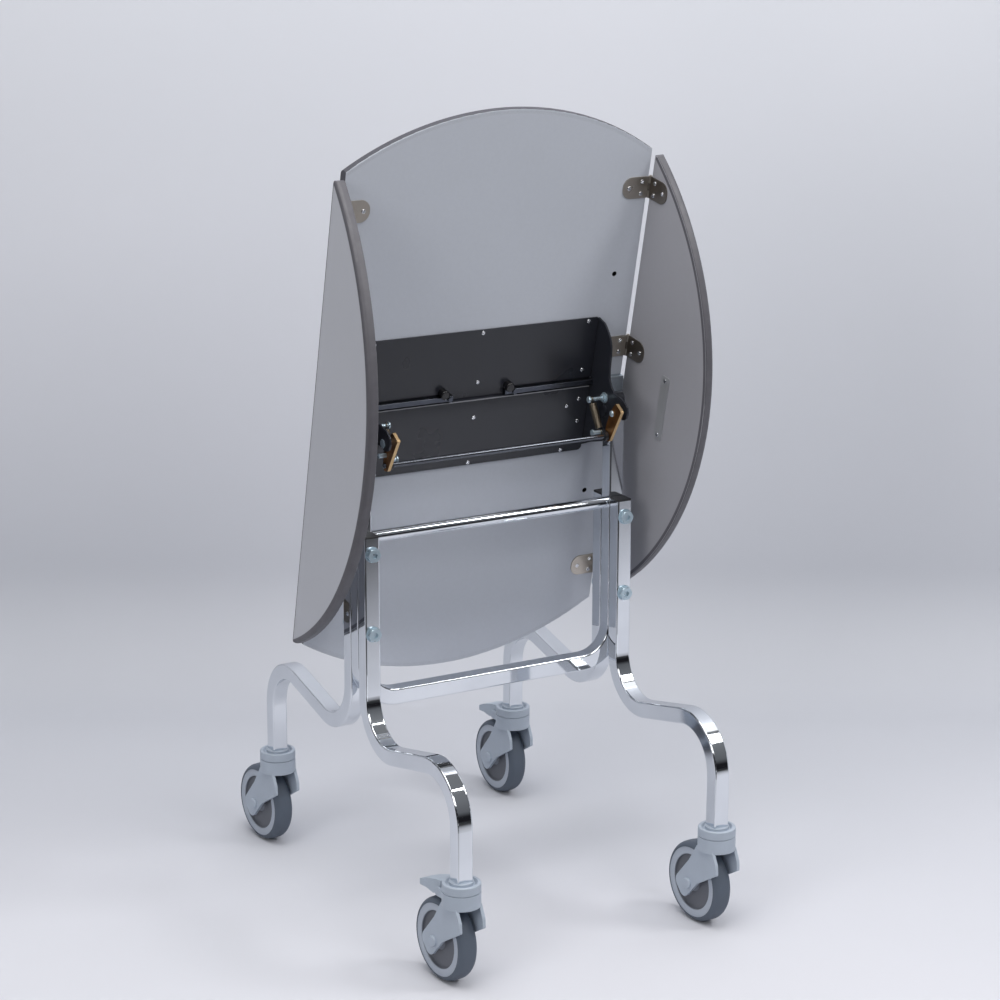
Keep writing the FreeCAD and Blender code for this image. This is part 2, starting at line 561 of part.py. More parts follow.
def leaf_screws(x_in, x_far, side):
    return [(side * (x_in + (x_far - x_in) * 0.26), -9.5), (side * (x_in + (x_far - x_in) * 0.26), 9.5), (side * (x_in + (x_far - x_in) * 0.76), 0)]


pieces, screws = [], []
small = pan_screw(3.3, 1.3, 1.9, lt)
for i in (-1, 1):
    for v in HINGES:
        shift = Placement(V(0, v, 0), Rotation())
        s = leaf(255.5 * 1.0, 212, i)
        for lo, hi in ((-17, -6.15), (6.15, 17)):
            s = s.fuse(Part.makeBox(3.6, hi - lo, lt, V(i * 255.5 if i > 0 else -259.1, lo, 0)))
            s = s.fuse(rod(br, (i * hinge_u, lo, 0), (i * hinge_u, hi, 0)))
        s = s.fuse(rod(hp, (i * hinge_u, -18, 0), (i * hinge_u, 18, 0))).removeSplitter()
        pieces.append(place(s, shift))
        screws += [place(small, Placement(V(x, y + v, lt), Rotation(V(0, 0, 1), 25 * k))) for k, (x, y) in enumerate(leaf_screws(255.5, 212, i))]
group("hinge_leaves_centre", pieces, TABLE)
group("hinge_screws_centre", screws, TABLE)

wx, ww, wt = D("wear_start"), D("wear_width"), D("wear_thickness")
for name, i, where in (("left", -1, LEFT), ("right", 1, RIGHT)):
    pieces, screws = [], []
    for v in HINGES:
        s = leaf(3.5, 44, i).fuse(Part.makeBox(3.6, 11.7, lt, V(0 if i > 0 else -3.6, -5.85, 0))).fuse(rod(br, (0, -5.85, 0), (0, 5.85, 0)))
        s = s.cut(rod(hp + gap, (0, -8, 0), (0, 8, 0))).removeSplitter()
        pieces.append(place(s, Placement(V(0, v, 0), Rotation())))
        screws += [place(small, Placement(V(x, y + v, lt), Rotation(V(0, 0, 1), 25 * k))) for k, (x, y) in enumerate(leaf_screws(3.5, 44, i))]
    group("hinge_leaves_" + name, pieces, where)
    # Wear plate that the sliding support bears on when the flap is up.
    plate = prism(corners([(i * wx, -53), (i * wx, 51), (i * (wx + ww), 51), (i * (wx + ww), -53)], 3), 0, wt)
    for v in (-46, 44):
        plate = plate.cut(Part.makeCylinder(2, 4, V(i * (wx + ww / 2), v, -1)))
        screws.append(place(pan_screw(3.3, 1.3, 1.9, wt), Placement(V(i * (wx + ww / 2), v, wt), Rotation())))
    group("wear_plate_" + name, [plate], where)
    group("flap_screws_" + name, screws, where)

# ---------------------------------------------------------------- release latch
LEVER = [(14, 98), (7.5, 116), (-51, 95), (-54, 85), (-47, 79.5), (-33, 80), (-2, 87.5)]
for name, x in (("lever_left", -D("lever_inner") - D("lever_thickness")), ("lever_right", D("lever_inner"))):
    b = body(name)
    s = sketch(b, name + "_outline", "YZ_Plane", corners(LEVER, [2, 2.5, 3, 4, 4, 4, 8]), (0, 0, x))
    pad(b, name + "_plate", s, "sizes.lever_thickness")
    s = sketch(b, name + "_holes", "YZ_Plane",
               [circle(lever_v, lever_h, 3.05), circle(-45, 87, D("rod_radius"))], (0, 0, x + 8))
    pocket(b, name + "_bores", s, 20)
    b.Placement = TABLE
    keep(b)

release = body("release_rod")
s = sketch(release, "release_rod_section", "YZ_Plane", [circle(-45, 87, D("rod_radius"))], (0, 0, -D("rod_half_length") - 4))
p = pad(release, "release_rod_run", s, "sizes.rod_half_length * 2 + 8")
round_edges(release, "release_rod_ends", p, 3, lambda e: e.Curve.TypeId == "Part::GeomCircle")
release.Placement = TABLE
keep(release)

rings, pins = [], []
for i in (-1, 1):
    # collar with a link that carries the spring's pin below the rod
    link = on_x(prism(corners([(-52, 91.5), (-38, 91.5), (-38, 70), (-48, 70)], [6, 6, 4.9, 4.9]), 184, 187.2))
    c = rod(7, (181.5, -45, 87), (187.2, -45, 87)).fuse(link).removeSplitter()
    c = c.cut(rod(4, (170, -45, 87), (190, -45, 87))).cut(rod(3, (170, -43, 75), (190, -43, 75)))
    p = rod(3, (169, -43, 75), (187.2, -43, 75)).fuse(rod(5, (167, -43, 75), (169, -43, 75)))
    q = rod(3.5, (192.5, -28.5, 85.5), (204.4, -28.5, 85.5))
    for m, into in ((c, rings), (p, pins), (q, pins)):
        into.append(m if i > 0 else m.mirror(V(0, 0, 0), V(1, 0, 0)))
group("rod_collars", rings, TABLE)
group("latch_pins", pins, TABLE)

# ---------------------------------------------------------------- sliding flap supports
b0, b1, lift, bw, bh = D("bar_inner_end"), D("bar_outer_end"), D("bar_lift"), D("bar_width"), D("bar_height")
kr, kb, kt = D("knob_radius"), D("knob_bottom"), D("knob_top")
for name, i, knob_u, stud_u in (("left", -1, 61, 50.5), ("right", 1, 51, 61)):
    bar = Part.makeBox(b1 - b0, bw, bh, V(b0, 10 - bw / 2, lift))
    bar = bar.makeFillet(1, edges_at(bar, lambda e: near(e.BoundBox.ZMin, lift + bh) and e.BoundBox.XLength > 50))
    tab = prism(corners([(234, 9), (256, 9), (256, -17), (251, -17), (245, -10.5), (234, -10.5)], [0, 1, 2, 3, 5, 2]), lift + bh - 3, lift + bh)
    bar = bar.fuse(tab).fuse(Part.makeCylinder(3.8, 3.2, V(stud_u, 10, lift + bh - 0.2)))
    bar = bar.cut(Part.makeCylinder(kr, 30, V(knob_u, 19, 0))).removeSplitter()
    knob = Part.makeCylinder(kr, kt - kb, V(knob_u, 19, kb))
    knob = knob.makeFillet(2.2, edges_at(knob, lambda e: near(e.BoundBox.ZMin, kt)))
    if i < 0:
        bar, knob = bar.mirror(V(0, 0, 0), V(1, 0, 0)), knob.mirror(V(0, 0, 0), V(1, 0, 0))
    group("support_bar_" + name, [bar], TABLE)
    group("support_knob_" + name, [knob], TABLE)

# ---------------------------------------------------------------- checks and export
doc.recompute()
problems = []
for o in doc.Objects:
    if "Invalid" in o.State or "Error" in o.State:
        problems.append("%s state %s" % (o.Label, o.State))
for label, o in NODES.items():
    if o.Shape.isNull() or not o.Shape.isValid() or not o.Shape.Solids:
        problems.append("%s shape" % label)
if problems:
    raise RuntimeError("; ".join(problems))
if len(NODES) > 60:
    raise RuntimeError("too many nodes")

os.makedirs("parts", exist_ok=True)
for old in os.listdir("parts"):
    if old.endswith(".step"):
        os.remove(os.path.join("parts", old))
box = FreeCAD.BoundBox()
for label, o in sorted(NODES.items()):
    o.Shape.exportStep(os.path.join("parts", label + ".step"))
    box.add(o.Shape.BoundBox)
    print("%-24s solids %2d volume %10.0f" % (label, len(o.Shape.Solids), o.Shape.Volume))
print("nodes", len(NODES), "box", [round(v, 2) for v in (box.XMin, box.XMax, box.YMin, box.YMax, box.ZMin, box.ZMax)])
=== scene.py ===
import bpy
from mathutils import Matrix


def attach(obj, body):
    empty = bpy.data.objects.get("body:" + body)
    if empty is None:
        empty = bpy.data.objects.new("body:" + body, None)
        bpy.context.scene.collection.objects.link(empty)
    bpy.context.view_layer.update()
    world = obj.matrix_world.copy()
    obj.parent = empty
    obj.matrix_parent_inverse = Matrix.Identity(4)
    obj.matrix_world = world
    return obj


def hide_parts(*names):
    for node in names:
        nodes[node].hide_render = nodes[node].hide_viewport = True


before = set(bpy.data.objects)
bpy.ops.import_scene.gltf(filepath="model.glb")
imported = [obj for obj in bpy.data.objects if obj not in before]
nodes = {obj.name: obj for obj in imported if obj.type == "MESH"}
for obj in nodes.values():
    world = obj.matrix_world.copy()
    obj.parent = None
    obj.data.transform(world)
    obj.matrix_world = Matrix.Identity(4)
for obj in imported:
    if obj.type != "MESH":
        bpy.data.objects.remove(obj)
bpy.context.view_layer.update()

import math

import bpy
from mathutils import Matrix, Vector

scene = bpy.context.scene

# Frames of reference, in metres: the table top's own directions at rest.
SX, SY = -0.00503, -0.037
TILT = math.radians(12.7)
U = Vector((1, 0, 0))
VV = Vector((0, -math.sin(TILT), math.cos(TILT)))
N = Vector((0, -math.cos(TILT), -math.sin(TILT)))
O = Vector((SX, 0.0433 + SY, 0.772))


def T(u, v, h):
    """A point given in the table top's millimetres: across, up the top, out from its underside."""
    return O + U * (u / 1000) + VV * (v / 1000) + N * (h / 1000)


# ---------------------------------------------------------------- materials
def lin(r, g, b):
    return tuple((c / 255 / 12.92) if c <= 10 else ((c / 255 + 0.055) / 1.055) ** 2.4 for c in (r, g, b)) + (1.0,)


class Mat:
    def __init__(self, name, **consts):
        self.m = bpy.data.materials.new(name)
        self.m.use_nodes = True
        self.nt = self.m.node_tree
        self.b = self.nt.nodes["Principled BSDF"]
        self.tc = self.nt.nodes.new("ShaderNodeTexCoord")
        for k, v in consts.items():
            self.b.inputs[k.replace("_", " ")].default_value = v

    def node(self, kind, **inputs):
        n = self.nt.nodes.new(kind)
        for k, v in inputs.items():
            n.inputs[k.replace("_", " ")].default_value = v
        return n

    def link(self, a, b):
        self.nt.links.new(a, b)

    def noise(self, scale, detail=4.0, rough=0.55, stretch=None):
        n = self.node("ShaderNodeTexNoise", Scale=scale, Detail=detail, Roughness=rough)
        src = self.tc.outputs["Object"]
        if stretch:
            mp = self.nt.nodes.new("ShaderNodeMapping")
            mp.inputs["Scale"].default_value = stretch
            self.link(src, mp.inputs["Vector"])
            src = mp.outputs["Vector"]
        self.link(src, n.inputs["Vector"])
        return n.outputs["Fac"]

    def ramp(self, fac, stops, linear=True):
        r = self.nt.nodes.new("ShaderNodeValToRGB")
        r.color_ramp.interpolation = "LINEAR" if linear else "EASE"
        e = r.color_ramp.elements
        while len(e) > 1:
            e.remove(e[-1])
        e[0].position, e[0].color = stops[0][0], stops[0][1]
        for p, c in stops[1:]:
            x = e.new(p)
            x.color = c
        self.link(fac, r.inputs["Fac"])
        return r.outputs["Color"]

    def span(self, fac, a0, a1, b0, b1):
        n = self.node("ShaderNodeMapRange", From_Min=a0, From_Max=a1, To_Min=b0, To_Max=b1)
        self.link(fac, n.inputs["Value"])
        return n.outputs["Result"]

    def mix(self, fac, a, b):
        n = self.nt.nodes.new("ShaderNodeMix")
        n.data_type = "RGBA"
        for key, val in ((0, fac), (6, a), (7, b)):
            if hasattr(val, "links") or hasattr(val, "is_linked"):
                self.link(val, n.inputs[key])
            else:
                n.inputs[key].default_value = val
        return n.outputs[2]

    def distance(self, point):
        n = self.nt.nodes.new("ShaderNodeVectorMath")
        n.operation = "DISTANCE"
        self.link(self.tc.outputs["Object"], n.inputs[0])
        n.inputs[1].default_value = point
        return n.outputs["Value"]

    def along(self, point, direction):
        a = self.nt.nodes.new("ShaderNodeVectorMath")
        a.operation = "SUBTRACT"
        self.link(self.tc.outputs["Object"], a.inputs[0])
        a.inputs[1].default_value = point
        return self.dot(a.outputs["Vector"], direction)

    def dot(self, vector, direction):
        b = self.nt.nodes.new("ShaderNodeVectorMath")
        b.operation = "DOT_PRODUCT"
        self.link(vector, b.inputs[0])
        b.inputs[1].default_value = direction
        return b.outputs["Value"]

    def facing(self, direction):
        """How far the surface faces a direction of the object's own, from -1 to 1."""
        return self.dot(self.tc.outputs["Normal"], direction)

    def both(self, a, b):
        n = self.nt.nodes.new("ShaderNodeMath")
        n.operation = "MULTIPLY"
        self.link(a, n.inputs[0])
        self.link(b, n.inputs[1])
        return n.outputs["Value"]

    def bump(self, fac, strength, distance):
        n = self.node("ShaderNodeBump", Strength=strength, Distance=distance)
        self.link(fac, n.inputs["Height"])
        self.link(n.outputs["Normal"], self.b.inputs["Normal"])

    def base(self, out):
        self.link(out, self.b.inputs["Base Color"])

    def rough(self, out):
        self.link(out, self.b.inputs["Roughness"])


def tone(col, k):
    return tuple(min(1.0, c * k) for c in col[:3]) + (1.0,)


def speckled(name, col, spread=0.06, scale=40, fine=600, rough=(0.4, 0.5), bump=0.02, dist=0.0002, **consts):
    """A surface whose tone and gloss wander a little, as moulded, coated or plated ones do."""
    m = Mat(name, **consts)
    wide = m.noise(scale, 3)
    tight = m.noise(fine, 5)
    a = m.ramp(wide, [(0.3, tone(col, 1 - spread)), (0.7, tone(col, 1 + spread))])
    b = m.ramp(tight, [(0.3, tone(col, 1 - spread * 0.6)), (0.7, tone(col, 1 + spread * 0.6))])
    m.base(m.mix(0.45, a, b))
    m.rough(m.span(wide, 0.3, 0.7, rough[0], rough[1]))
    m.bump(tight, bump, dist)
    return m.m


def chrome():
    m = Mat("chrome_plate", Metallic=1.0)
    wide, tight = m.noise(9, 3), m.noise(220, 4)
    m.base(m.ramp(wide, [(0.25, lin(212, 216, 222)), (0.75, lin(226, 230, 235))]))
    m.rough(m.span(wide, 0.3, 0.7, 0.035, 0.075))
    wave = m.node("ShaderNodeBump", Strength=0.12, Distance=0.001)
    m.link(m.noise(6, 0), wave.inputs["Height"])
    grain = m.node("ShaderNodeBump", Strength=0.012, Distance=0.0001)
    m.link(tight, grain.inputs["Height"])
    m.link(wave.outputs["Normal"], grain.inputs["Normal"])
    m.link(grain.outputs["Normal"], m.b.inputs["Normal"])
    return m.m


DARK = lin(92, 91, 97)


def laminate(name, col, top, normal, centre, dark, paint_bore_shade=False):
    """Satin laminate with a fine print on both faces; past the edge of the flat face the dark edge moulding begins."""
    m = Mat(name, **{"Specular_IOR_Level": 0.45})
    wide, tight, print_ = m.noise(5, 3), m.noise(900, 3), m.noise(170, 6, 0.7)
    faces = []
    for c in (top, col):
        a = m.ramp(wide, [(0.3, tone(c, 0.975)), (0.7, tone(c, 1.025))])
        b = m.ramp(print_, [(0.32, tone(c, 0.965)), (0.68, tone(c, 1.035))])
        faces.append(m.mix(0.5, a, b))
    under = m.span(m.facing(normal), -0.1, 0.1, 0.0, 1.0)
    face = m.mix(under, faces[0], faces[1])
    rims = [m.ramp(tight, [(0.3, tone(c, 0.9)), (0.7, tone(c, 1.1))]) for c in (DARK, dark)]
    edge = m.mix(under, rims[0], rims[1])
    out = m.mix(m.span(m.distance(centre), 0.4524, 0.4534, 0.0, 1.0), face, edge)
    if paint_bore_shade:
        # painted shade: surfaces lying 0.6 to 10.5 mm into the board from the underside, chiefly the bore walls, are
        # painted near-black for the shade inside the bores
        depth = m.along(O, N)
        inside = m.both(m.span(depth, -0.0006, -0.0002, 1.0, 0.0), m.span(depth, -0.0112, -0.0105, 0.0, 1.0))
        out = m.mix(inside, out, lin(16, 16, 18))
    m.base(out)
    m.rough(m.span(print_, 0.3, 0.7, 0.40, 0.50))
    m.bump(tight, 0.03, 0.0001)
    return m.m


UNDER = lin(192, 197, 207)
TOP = lin(189, 191, 198)
# painted shade: both flaps' undersides, and the flush parts of their edge mouldings, take this darker copy of the
# laminate's underside tone (UNDER) for the shade the right flap's inner face lies in
FLAP_UNDER_PAINTED_SHADE = lin(159, 159, 165)
fold_l, fold_r = math.radians(87), math.radians(84)
# centre of each flap's round edge, in the fold it has at rest
centre_flat = T(0, 0, -8)


def flap_centre(side, fold):
    e = (math.cos(fold), math.sin(fold))
    m = (-math.sin(fold), math.cos(fold))
    s, k = -259, -8
    return T(side * (259 + s * e[0] + k * m[0]), 0, s * e[1] + k * m[1])


def flap_normal(side, fold):
    return U * (-side * math.sin(fold)) + N * math.cos(fold)


M = {}
M["chrome"] = chrome()
M["panel"] = laminate("laminate_centre", UNDER, TOP, N, centre_flat, tone(UNDER, 0.95), paint_bore_shade=True)
M["flap_l"] = laminate("laminate_left", FLAP_UNDER_PAINTED_SHADE, TOP, flap_normal(-1, fold_l), flap_centre(-1, fold_l), DARK)
M["flap_r"] = laminate("laminate_right", FLAP_UNDER_PAINTED_SHADE, TOP, flap_normal(1, fold_r), flap_centre(1, fold_r), DARK)


def band(name, face, normal, dark=DARK, start=0.86, stop=0.94):
    """Edge moulding; where it lies flush in the underside it takes the laminate's tone."""
    m = Mat(name)
    wide, tight = m.noise(60, 3), m.noise(700, 4)
    a = m.ramp(wide, [(0.3, tone(dark, 0.92)), (0.7, tone(dark, 1.1))])
    b = m.ramp(tight, [(0.3, tone(face, 0.96)), (0.7, tone(face, 1.03))])
    m.base(m.mix(m.span(m.facing(normal), start, stop, 0.0, 1.0), a, b))
    m.rough(m.span(tight, 0.3, 0.7, 0.4, 0.52))
    m.bump(tight, 0.03, 0.0001)
    return m.m


M["band"] = band("edge_moulding_centre", UNDER, N, lin(70, 70, 78), 0.62, 0.86)
M["band_l"] = band("edge_moulding_left", FLAP_UNDER_PAINTED_SHADE, flap_normal(-1, fold_l))
M["band_r"] = band("edge_moulding_right", FLAP_UNDER_PAINTED_SHADE, flap_normal(1, fold_r))
M["black"] = speckled("black_coat", lin(37, 39, 46), 0.05, 12, 1600, (0.27, 0.31), 0.02, 0.00005)


def lipped():
    """Black coat with a painted highlight: a pale band along the turned lip of the lower plate."""
    m = Mat("black_coat_lip_painted_light")
    wide, tight = m.noise(12, 3), m.noise(1600, 5)
    a = m.ramp(wide, [(0.3, lin(40, 42, 49)), (0.7, lin(43, 45, 52))])
    b = m.ramp(tight, [(0.3, lin(120, 122, 128)), (0.7, lin(140, 142, 148))])
    # painted highlight: surfaces more than about 6 mm out from the underside, along the lip, take the pale colour
    m.base(m.mix(m.span(m.along(O, N), 0.0056, 0.0062, 0.0, 1.0), a, b))
    m.rough(m.span(wide, 0.3, 0.7, 0.27, 0.31))
    m.bump(tight, 0.02, 0.00005)
    return m.m


M["black_plastic"] = speckled("black_moulding", lin(30, 30, 33), 0.15, 50, 800, (0.4, 0.5), 0.05)
M["knob"] = speckled("knob_black", lin(22, 22, 25), 0.15, 80, 900, (0.15, 0.22), 0.02)
M["zinc"] = speckled("bright_zinc", lin(190, 208, 219), 0.07, 60, 1500, (0.26, 0.34), 0.02, 0.00005, Metallic=0.7)
M["screw"] = speckled("bright_screw", lin(222, 224, 228), 0.06, 120, 1500, (0.2, 0.28), 0.02, 0.00005, Metallic=1.0)
M["nickel"] = speckled("dull_nickel", lin(184, 177, 168), 0.10, 70, 1200, (0.26, 0.36), 0.02, 0.00005, Metallic=0.9)
M["steel"] = speckled("bare_steel", lin(178, 182, 188), 0.06, 40, 1500, (0.2, 0.27), 0.015, 0.00005, Metallic=1.0)
M["wear"] = speckled("wear_steel", lin(164, 166, 170), 0.05, 60, 1500, (0.42, 0.5), 0.02, 0.00005, Metallic=0.35)
M["rod"] = speckled("dark_rod", lin(98, 101, 108), 0.06, 40, 1500, (0.2, 0.27), 0.015, 0.00005, Metallic=1.0)
M["spring"] = speckled("dull_spring_wire", lin(132, 122, 108), 0.10, 90, 1500, (0.3, 0.4), 0.015, 0.00005, Metallic=1.0)
# painted shade: the flap-side hinge leaves get this darker copy of the centre leaves' nickel for the shade they lie in
M["nickel_dark"] = speckled("nickel_painted_shade", lin(134, 127, 119), 0.12, 70, 1200, (0.28, 0.38), 0.02, 0.00005, Metallic=0.95)


def plated_lever():
    """Yellow plated plate, brown on its broad faces and paler along its cut edges."""
    m = Mat("yellow_steel", Metallic=0.9)
    wide, tight = m.noise(70, 3), m.noise(1200, 4)
    a = m.ramp(wide, [(0.3, lin(128, 84, 44)), (0.7, lin(170, 116, 64))])
    b = m.ramp(tight, [(0.3, lin(196, 164, 120)), (0.7, lin(214, 184, 140))])
    f = m.facing(U)
    m.base(m.mix(m.span(m.both(f, f), 0.5, 0.9, 0.0, 1.0), b, a))
    m.rough(m.span(wide, 0.3, 0.7, 0.28, 0.38))
    m.bump(tight, 0.02, 0.00005)
    return m.m


M["bronze"] = plated_lever()
M["lipped"] = lipped()


def support_steel(side):
    """Dark slide bar with a bright plated end."""
    m = Mat("support_steel_" + ("left" if side < 0 else "right"), Metallic=1.0)
    wide, tight = m.noise(60, 3), m.noise(1500, 4)
    a = m.ramp(wide, [(0.3, lin(84, 88, 97)), (0.7, lin(96, 100, 109))])
    b = m.ramp(tight, [(0.3, lin(172, 182, 188)), (0.7, lin(188, 197, 204))])
    m.base(m.mix(m.span(m.along(O, U * side), 0.2305, 0.2325, 0.0, 1.0), a, b))
    m.rough(m.span(wide, 0.3, 0.7, 0.30, 0.38))
    m.bump(tight, 0.02, 0.00005)
    return m.m


M["caster"] = speckled("caster_moulding", lin(171, 181, 194), 0.05, 35, 900, (0.42, 0.52), 0.05, 0.0001)
M["pedal"] = speckled("pedal_moulding", lin(170, 181, 194), 0.05, 35, 900, (0.42, 0.52), 0.05, 0.0001)
M["tyre"] = speckled("tyre_rubber", lin(84, 93, 106), 0.08, 30, 1100, (0.55, 0.68), 0.12, 0.0002)

CORNERS = {"front_left": (-218, -310, 4.7), "front_right": (218, -310, 3.6), "rear_left": (-218, 310, 5.4), "rear_right": (218, 310, 1.5)}


def hub(corner):
    x, y, s = CORNERS[corner]
    a = math.radians(s)
    return Vector((x / 1000 + SX - 0.04 * math.sin(a), y / 1000 + SY + 0.04 * math.cos(a), 0.0625)), Vector((math.cos(a), math.sin(a), 0))


def wheel_material(corner):
    """Dark recessed disc inside a lighter rim ring, told apart by their distance from the axle line."""
    c, axis = hub(corner)
    m = Mat("wheel_" + corner)
    sub = m.nt.nodes.new("ShaderNodeVectorMath")
    sub.operation = "SUBTRACT"
    m.link(m.tc.outputs["Object"], sub.inputs[0])
    sub.inputs[1].default_value = c
    cross = m.nt.nodes.new("ShaderNodeVectorMath")
    cross.operation = "CROSS_PRODUCT"
    m.link(sub.outputs["Vector"], cross.inputs[0])
    cross.inputs[1].default_value = axis
    length = m.nt.nodes.new("ShaderNodeVectorMath")
    length.operation = "LENGTH"
    m.link(cross.outputs["Vector"], length.inputs[0])
    far = length.outputs["Value"]
    tight = m.noise(700, 4)
    rim, disc, core = lin(172, 180, 192), lin(98, 101, 109), lin(126, 131, 141)
    a = m.ramp(tight, [(0.3, tone(rim, 0.95)), (0.7, tone(rim, 1.04))])
    b = m.ramp(tight, [(0.3, tone(disc, 0.92)), (0.7, tone(disc, 1.06))])
    d = m.ramp(tight, [(0.3, tone(core, 0.94)), (0.7, tone(core, 1.05))])
    inner = m.mix(m.span(far, 0.0145, 0.0155, 0.0, 1.0), d, b)
    m.base(m.mix(m.span(far, 0.0428, 0.0434, 0.0, 1.0), inner, a))
    m.rough(m.span(tight, 0.3, 0.7, 0.42, 0.55))
    m.bump(tight, 0.05, 0.0001)
    return m.m


def give(name, material):
    o = nodes[name]
    if not o.material_slots:
        o.data.materials.append(material)
    for s in o.material_slots:
        s.material = material


for n in ("u_frame", "crossbar", "leg_front_left", "leg_front_right", "leg_rear_left", "leg_rear_right"):
    give(n, M["chrome"])
for n, k in {"leg_end_caps": "black_plastic", "frame_bolts": "zinc", "frame_nuts": "zinc", "pivot_blocks": "black", "pivot_pins": "black",
             "caster_collars": "caster", "centre_panel": "panel", "centre_edge_band": "band", "housing_plate_upper": "black", "housing_plate_lower": "lipped",
             "cheek_left": "black", "cheek_right": "black", "housing_screws": "screw", "mechanism_bolts": "zinc", "hinge_leaves_centre": "nickel",
             "hinge_screws_centre": "screw", "latch_springs": "spring", "flap_left": "flap_l", "flap_right": "flap_r", "flap_left_band": "band_l",
             "flap_right_band": "band_r", "lever_left": "bronze", "lever_right": "bronze", "release_rod": "rod", "rod_collars": "black_plastic",
             "latch_pins": "zinc"}.items():
    give(n, M[k])
for side in ("left", "right"):
    # the flap-side leaves take the nickel darkened as painted shade
    give("hinge_leaves_" + side, M["nickel_dark"])
    give("flap_screws_" + side, M["screw"])
    give("wear_plate_" + side, M["wear"])
    give("support_bar_" + side, support_steel(-1 if side == "left" else 1))
    give("support_knob_" + side, M["knob"])
for corner in CORNERS:
    give("fork_" + corner, M["caster"])
    give("axle_" + corner, M["caster"])
    give("tyre_" + corner, M["tyre"])
    give("wheel_core_" + corner, wheel_material(corner))
for corner in ("front_left", "rear_right"):
    give("pedal_" + corner, M["pedal"])


# ---------------------------------------------------------------- added pieces
def new_mesh(name, verts, faces, material, smooth=True):
    me = bpy.data.meshes.new(name)
    me.from_pydata([tuple(v) for v in verts], [], faces)
    me.update()
    if smooth:
        for p in me.polygons:
            p.use_smooth = True
    me.materials.append(material)
    o = bpy.data.objects.new(name, me)
    scene.collection.objects.link(o)
    return o


def swept(points, radius, sides=10):
    """Vertices and faces of a round wire along a path, its ends closed."""
    pts = [Vector(p) for p in points]
    verts, faces = [], []
    t = (pts[1] - pts[0]).normalized()
    ref = Vector((0, 0, 1)) if abs(t.z) < 0.9 else Vector((1, 0, 0))
    a = t.cross(ref).normalized()
    for i, p in enumerate(pts):
        q = pts[min(i + 1, len(pts) - 1)] - pts[max(i - 1, 0)]
        t = q.normalized()
        a = (a - t * a.dot(t)).normalized()
        b = t.cross(a)
        for k in range(sides):
            w = 2 * math.pi * k / sides
            verts.append(p + (a * math.cos(w) + b * math.sin(w)) * radius)
    for i in range(len(pts) - 1):
        for k in range(sides):
            j = (k + 1) % sides
            faces.append((i * sides + k, i * sides + j, (i + 1) * sides + j, (i + 1) * sides + k))
    faces.append(tuple(reversed(range(sides))))
    faces.append(tuple((len(pts) - 1) * sides + k for k in range(sides)))
    return verts, faces


# Wound extension springs in place of their plain envelopes.
verts, faces = [], []
for side in (-1, 1):
    a, b = T(side * 176.5, 0, 47.5), T(side * 181.8, -43, 75)
    way = (b - a).normalized()
    span = (b - a).length
    e1 = Vector((0, -way.z, way.y)).normalized()
    e2 = way.cross(e1)
    path = []
    for k in range(22):
        w = math.radians(-230 + 320 * k / 21)
        path.append(a + (way * math.cos(w) + e1 * math.sin(w)) * 0.0042)
    turns, start, stop = 26, 0.0062, span - 0.0062
    for k in range(turns * 20 + 1):
        f = k / (turns * 20)
        grow = min(1.0, k / 10, (turns * 20 - k) / 10)
        r = 0.0042 + 0.00105 * grow
        w = 2 * math.pi * turns * f
        path.append(a + way * (start + (stop - start) * f) + (e1 * math.cos(w) + e2 * math.sin(w)) * r)
    for k in range(22):
        w = math.radians(90 + 320 * k / 21)
        path.append(b + (way * math.cos(w) + e1 * math.sin(w)) * 0.0042)
    v, f = swept(path, 0.00072, 8)
    faces += [tuple(i + len(verts) for i in q) for q in f]
    verts += v
coils = new_mesh("latch_spring_coils", verts, faces, M["spring"])
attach(coils, "table")
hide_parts("latch_springs")

# ---------------------------------------------------------------- stage
CAM = Vector((-1.97590 + SX, -3.54340 + SY, 1.72390))
YAW, PITCH, ROLL = math.radians(29.367), math.radians(15.161), math.radians(0.137)
fwd = Vector((math.sin(YAW) * math.cos(PITCH), math.cos(YAW) * math.cos(PITCH), -math.sin(PITCH)))
right = Vector((math.cos(YAW), -math.sin(YAW), 0))
up = right.cross(fwd)
r2 = right * math.cos(ROLL) + up * math.sin(ROLL)
u2 = up * math.cos(ROLL) - right * math.sin(ROLL)

flat = Vector((math.sin(YAW), math.cos(YAW), 0))
across = Vector((math.cos(YAW), -math.sin(YAW), 0))
base = Vector((CAM.x, CAM.y, 0))
WALL = 5.06   # metres from the camera's foot to the wall
COVE = 0.22
profile = [(-3.0, 0.0)] + [(WALL - COVE, 0.0)]
for k in range(1, 13):
    w = math.pi / 2 * k / 12
    profile.append((WALL - COVE + COVE * math.sin(w), COVE - COVE * math.cos(w)))
profile.append((WALL, 4.2))
verts, faces = [], []
for d, z in profile:
    for k in range(2):
        verts.append(base + flat * d + across * (-4.5 + 9 * k) + Vector((0, 0, z)))
for i in range(len(profile) - 1):
    faces.append((2 * i, 2 * i + 1, 2 * i + 3, 2 * i + 2))
m = Mat("backdrop_paper", Roughness=0.75)
wide = m.noise(0.8, 2)
paper = m.ramp(wide, [(0.3, lin(218, 220, 225)), (0.7, lin(223, 224, 229))])
paper = m.mix(m.span(m.along(base, flat), 2.7, 3.45, 0.0, 1.0), lin(26, 27, 30), paper)
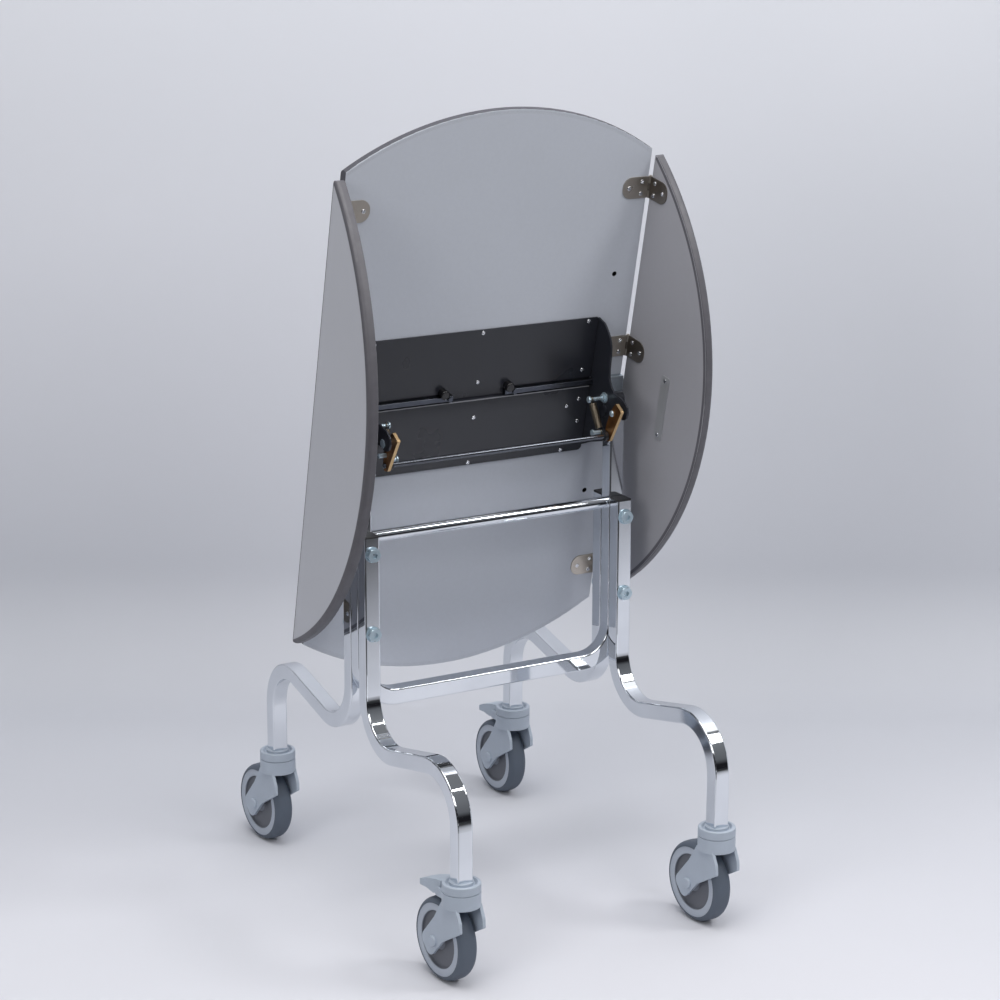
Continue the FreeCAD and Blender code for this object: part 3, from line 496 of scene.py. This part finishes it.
# painted shade: the sheet is darkened towards the cove, and painted light makes it a little brighter higher up the wall
cove_shade = m.mix(m.span(m.along(base, flat), 3.4, 4.9, 0.0, 1.0), (0.945, 0.94, 0.955, 1), (0.74, 0.75, 0.775, 1))
high = m.mix(m.span(m.along(base, Vector((0, 0, 1))), 0.05, 1.6, 0.0, 1.0), cove_shade, (1.02, 1.03, 1.05, 1))
n = m.nt.nodes.new("ShaderNodeMix")
n.data_type, n.blend_type = "RGBA", "MULTIPLY"
n.inputs[0].default_value = 1.0
m.link(paper, n.inputs[6])
m.link(high, n.inputs[7])
m.base(n.outputs[2])
backdrop = new_mesh("backdrop", verts, faces, m.m)


def area(name, where, at, size, power, colour=(1, 1, 1), size_y=None):
    light = bpy.data.lights.new(name, "AREA")
    light.energy = power
    light.color = colour
    light.size = size
    if size_y:
        light.shape = "RECTANGLE"
        light.size_y = size_y
    o = bpy.data.objects.new(name, light)
    scene.collection.objects.link(o)
    o.location = where
    o.rotation_euler = (Vector(at) - Vector(where)).to_track_quat("-Z", "Y").to_euler()
    return o


area("overhead", (-0.8, -0.6, 3.6), (-0.1, 0.4, 0.3), 2.4, 76, (1.0, 0.99, 0.98))
area("left_front", (-3.6, -1.9, 2.1), (0, 0, 0.7), 1.5, 33, (1.0, 0.99, 0.98))
area("key", (2.1, -2.0, 3.2), (0, 0.1, 0.75), 1.0, 42, (1.0, 0.99, 0.98))
area("front", (0.5, -3.6, 2.9), (0, 0, 0.95), 1.5, 34, (1.0, 0.99, 0.98))
area("back_right", (2.0, -0.1, 3.0), (1.5, 1.3, 0.2), 1.4, 7, (1.0, 0.99, 0.98))

world = bpy.data.worlds.new("studio")
scene.world = world
world.use_nodes = True
nt = world.node_tree
bg = nt.nodes["Background"]
tc = nt.nodes.new("ShaderNodeTexCoord")
sep = nt.nodes.new("ShaderNodeSeparateXYZ")
nt.links.new(tc.outputs["Generated"], sep.inputs[0])
ramp = nt.nodes.new("ShaderNodeValToRGB")
span = nt.nodes.new("ShaderNodeMapRange")
span.inputs["From Min"].default_value = -1.0
span.inputs["From Max"].default_value = 1.0
nt.links.new(sep.outputs["Z"], span.inputs["Value"])
nt.links.new(span.outputs["Result"], ramp.inputs["Fac"])
e = ramp.color_ramp.elements
e[0].position, e[0].color = 0.0, (0.32, 0.34, 0.38, 1)
e[1].position, e[1].color = 1.0, (0.95, 0.97, 1.0, 1)
for p, c in ((0.44, (0.24, 0.25, 0.28, 1)), (0.49, (0.05, 0.05, 0.06, 1)), (0.55, (0.06, 0.06, 0.07, 1)), (0.62, (0.55, 0.57, 0.61, 1)), (0.78, (0.80, 0.83, 0.88, 1))):
    x = e.new(p)
    x.color = c
nt.links.new(ramp.outputs["Color"], bg.inputs["Color"])
bg.inputs["Strength"].default_value = 0.24

camera = bpy.data.cameras.new("camera")
camera.lens = 100.04
camera.sensor_width = 36.0
camera.sensor_fit = "HORIZONTAL"
camera.clip_start = 0.1
camera.clip_end = 50.0
cam = bpy.data.objects.new("camera", camera)
scene.collection.objects.link(cam)
cam.matrix_world = Matrix.Translation(CAM) @ Matrix((r2, u2, -fwd)).transposed().to_4x4()
scene.camera = cam
scene.view_settings.view_transform = "Standard"
